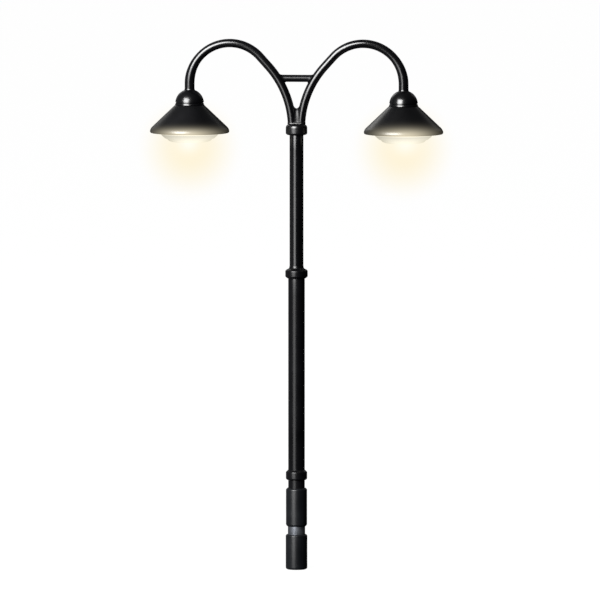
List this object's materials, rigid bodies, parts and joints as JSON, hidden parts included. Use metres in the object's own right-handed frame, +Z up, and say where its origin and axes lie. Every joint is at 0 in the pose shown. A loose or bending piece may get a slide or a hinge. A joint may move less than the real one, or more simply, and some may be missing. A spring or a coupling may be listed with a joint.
{
  "type": "model railway street lamp",
  "caption": "Twin-arm model railway street lamp: stepped tube mast, swan-neck arms with a brace, conical shades with domed caps and lit diffusers, on a ring-contact plug pin.",
  "frame": {"origin": "on the mast's axis, at the underside of the base collar, where the lamp meets its socket in the layout board", "axes": "+Z up along the mast, +X towards the right-hand lamp, the plug pin points along -Z"},
  "size_m": [0.0412, 0.0112, 0.0745],
  "materials": {
    "black_lacquer": "satin to gloss black lacquer on brass",
    "black_plastic": "satin black",
    "nickel": "turned, nickel plated",
    "brass": "turned",
    "white_plastic": "matt white",
    "frosted_plastic": "frosted, lit from behind",
    "board": "white solder mask",
    "led_phosphor": "warm white LED",
    "resistor_body": "matt",
    "enamel_red": "enamelled wire",
    "enamel_green": "enamelled wire",
    "natural_nylon": "natural nylon"
  },
  "bodies": {
    "root": {"lower_mast_tube": "black_lacquer", "upper_mast_tube": "black_lacquer", "base_collar": "black_lacquer", "middle_collar": "black_lacquer", "mast_head": "black_lacquer", "left_arm": "black_lacquer", "right_arm": "black_lacquer", "arm_brace": "black_lacquer", "fork_web": "black_lacquer", "left_lamp_cap": "black_lacquer", "right_lamp_cap": "black_lacquer", "left_shade": "black_lacquer", "right_shade": "black_lacquer", "left_reflector": "white_plastic", "right_reflector": "white_plastic", "left_led_board": "board", "right_led_board": "board", "left_led": "led_phosphor", "right_led": "led_phosphor", "left_resistor": "resistor_body", "right_resistor": "resistor_body", "left_diffuser": "frosted_plastic", "right_diffuser": "frosted_plastic", "upper_plug_sleeve": "black_plastic", "contact_ring": "nickel", "lower_plug_sleeve": "black_plastic", "plug_core": "natural_nylon", "tip_contact": "brass", "left_lead_positive": "enamel_red", "left_lead_negative": "enamel_green", "right_lead_positive": "enamel_red", "right_lead_negative": "enamel_green"}
  },
  "joints": []
}
